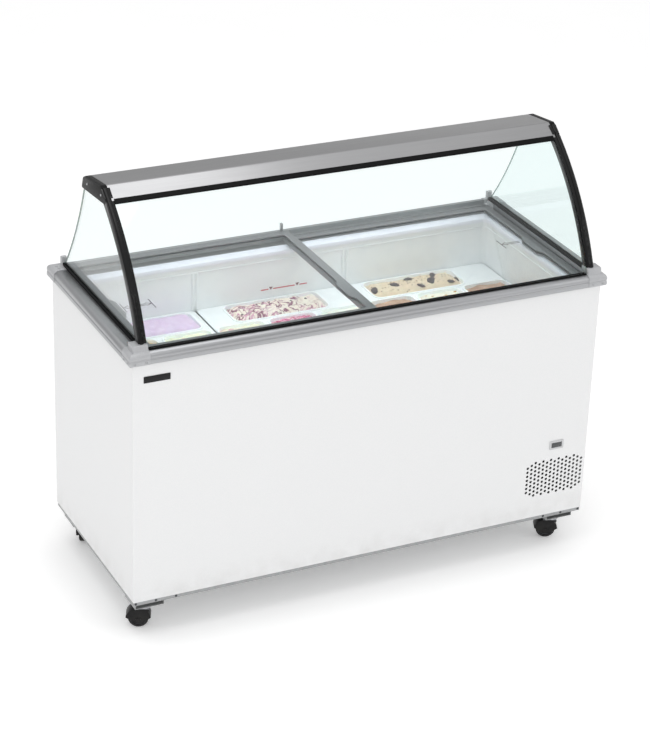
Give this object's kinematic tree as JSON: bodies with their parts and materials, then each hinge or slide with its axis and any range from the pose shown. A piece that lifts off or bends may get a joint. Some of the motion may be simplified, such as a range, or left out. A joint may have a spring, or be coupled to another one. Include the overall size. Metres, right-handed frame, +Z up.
{
  "type": "ice cream dipping cabinet",
  "caption": "White chest-type ice cream dipping cabinet with a curved glass sneeze guard, metal hood, sliding glass lids over filled pans, and swivel casters.",
  "frame": {"origin": "on the floor, below the middle of the cabinet", "axes": "+Z up, -Y the customer's side with the curved glass, +Y the service side, +X towards the compressor grille"},
  "size_m": [1.5108, 0.6708, 1.2875],
  "materials": {
    "white_paint": "gloss",
    "tray_steel": "satin",
    "screw_steel": "satin",
    "foam": "matte",
    "liner_paint": "satin",
    "collar_plastic": "satin",
    "copper": "satin",
    "rail_steel": "satin",
    "tray_plastic": "satin",
    "pan_plastic": "satin",
    "ice_cream": "matte",
    "rim_aluminium": "satin",
    "corner_grey": "satin",
    "hood_metal": "satin",
    "black_plastic": "satin",
    "strut_black": "satin",
    "guard_glass": "polished",
    "gasket_rubber": "matte",
    "lamp_diffuser": "satin",
    "lid_frame_grey": "satin",
    "lid_glass": "polished",
    "badge_black": "gloss",
    "bezel_grey": "satin",
    "display_dark": "polished",
    "control_grey": "satin",
    "compressor_black": "satin",
    "condenser_fins": "satin",
    "shroud_steel": "satin",
    "fan_plastic": "satin",
    "caster_black": "satin",
    "caster_tread": "satin"
  },
  "bodies": {
    "cabinet": {"front_panel": "white_paint", "left_side_panel": "white_paint", "right_side_panel": "white_paint", "rear_panel": "white_paint", "base_tray": "tray_steel", "caster_brackets": "tray_steel", "caster_plates": "tray_steel", "base_screws": "screw_steel", "trim_screws": "screw_steel", "foam_insulation": "foam", "tank_liner": "liner_paint", "breaker_collar": "collar_plastic", "evaporator_coil": "copper", "refrigerant_pipes": "copper", "tray_rails": "rail_steel", "pan_trays": "tray_plastic", "ice_cream_pans": "pan_plastic", "ice_cream": "ice_cream", "rim_front": "rim_aluminium", "rim_rear": "rim_aluminium", "rim_left": "rim_aluminium", "rim_right": "rim_aluminium", "corner_front_left": "corner_grey", "corner_front_right": "corner_grey", "corner_rear_left": "corner_grey", "corner_rear_right": "corner_grey", "canopy_top": "hood_metal", "canopy_cap_left": "black_plastic", "canopy_cap_right": "black_plastic", "cable_gland": "black_plastic", "strut_left": "strut_black", "strut_right": "strut_black", "front_glass": "guard_glass", "side_glass_left": "guard_glass", "side_glass_right": "guard_glass", "glass_gaskets": "gasket_rubber", "compressor_feet": "gasket_rubber", "canopy_lamp": "lamp_diffuser", "badge_plate": "badge_black", "thermometer_bezel": "bezel_grey", "thermometer_display": "display_dark", "control_plate": "control_grey", "compressor": "compressor_black", "condenser": "condenser_fins", "fan_shroud": "shroud_steel"},
    "lid_left": {"lid_left_frame": "lid_frame_grey", "lid_left_glass": "lid_glass"},
    "lid_right": {"lid_right_frame": "lid_frame_grey", "lid_right_glass": "lid_glass"},
    "condenser_fan": {"condenser_fan": "fan_plastic"},
    "thermostat_knob": {"thermostat_knob": "black_plastic"},
    "power_rocker": {"power_rocker": "black_plastic"},
    "caster_fork_front_left": {"caster_fork_front_left": "caster_black"},
    "caster_wheel_front_left": {"caster_wheel_front_left": "caster_tread"},
    "caster_fork_front_right": {"caster_fork_front_right": "caster_black"},
    "caster_wheel_front_right": {"caster_wheel_front_right": "caster_tread"},
    "caster_fork_rear_left": {"caster_fork_rear_left": "caster_black"},
    "caster_wheel_rear_left": {"caster_wheel_rear_left": "caster_tread"},
    "caster_fork_rear_right": {"caster_fork_rear_right": "caster_black"},
    "caster_wheel_rear_right": {"caster_wheel_rear_right": "caster_tread"}
  },
  "joints": [
    {"name": "lid_left_slide", "type": "slide", "parent": "cabinet", "child": "lid_left", "axis": [1, 0, 0], "range_m": [0, 0.66]},
    {"name": "lid_right_slide", "type": "slide", "parent": "cabinet", "child": "lid_right", "axis": [-1, 0, 0], "range_m": [0, 0.66]},
    {"name": "condenser_fan_spin", "type": "hinge", "parent": "cabinet", "child": "condenser_fan", "pos_m": [0.61, -0.244, 0.235], "axis": [0, 1, 0], "continuous": true},
    {"name": "thermostat_knob_turn", "type": "hinge", "parent": "cabinet", "child": "thermostat_knob", "pos_m": [0.575, 0.3233, 0.34], "axis": [0, 1, 0], "range_deg": [0, 300]},
    {"name": "power_rocker_tilt", "type": "hinge", "parent": "cabinet", "child": "power_rocker", "pos_m": [0.63, 0.317, 0.34], "axis": [1, 0, 0], "range_deg": [-16, 0]},
    {"name": "caster_swivel_front_left", "type": "hinge", "parent": "cabinet", "child": "caster_fork_front_left", "pos_m": [-0.68, -0.255, 0.07], "axis": [0, 0, 1], "continuous": true},
    {"name": "caster_roll_front_left", "type": "hinge", "parent": "caster_fork_front_left", "child": "caster_wheel_front_left", "pos_m": [-0.69638, -0.24754, 0.03], "axis": [-0.4147, -0.91, 0], "continuous": true},
    {"name": "caster_swivel_front_right", "type": "hinge", "parent": "cabinet", "child": "caster_fork_front_right", "pos_m": [0.68, -0.255, 0.07], "axis": [0, 0, 1], "continuous": true},
    {"name": "caster_roll_front_right", "type": "hinge", "parent": "caster_fork_front_right", "child": "caster_wheel_front_right", "pos_m": [0.66362, -0.24754, 0.03], "axis": [-0.4147, -0.91, 0], "continuous": true},
    {"name": "caster_swivel_rear_left", "type": "hinge", "parent": "cabinet", "child": "caster_fork_rear_left", "pos_m": [-0.68, 0.255, 0.07], "axis": [0, 0, 1], "continuous": true},
    {"name": "caster_roll_rear_left", "type": "hinge", "parent": "caster_fork_rear_left", "child": "caster_wheel_rear_left", "pos_m": [-0.67254, 0.27138, 0.03], "axis": [-0.91, 0.4147, 0], "continuous": true},
    {"name": "caster_swivel_rear_right", "type": "hinge", "parent": "cabinet", "child": "caster_fork_rear_right", "pos_m": [0.68, 0.255, 0.07], "axis": [0, 0, 1], "continuous": true},
    {"name": "caster_roll_rear_right", "type": "hinge", "parent": "caster_fork_rear_right", "child": "caster_wheel_rear_right", "pos_m": [0.67687, 0.27273, 0.03], "axis": [-0.9848, -0.1736, 0], "continuous": true}
  ]
}
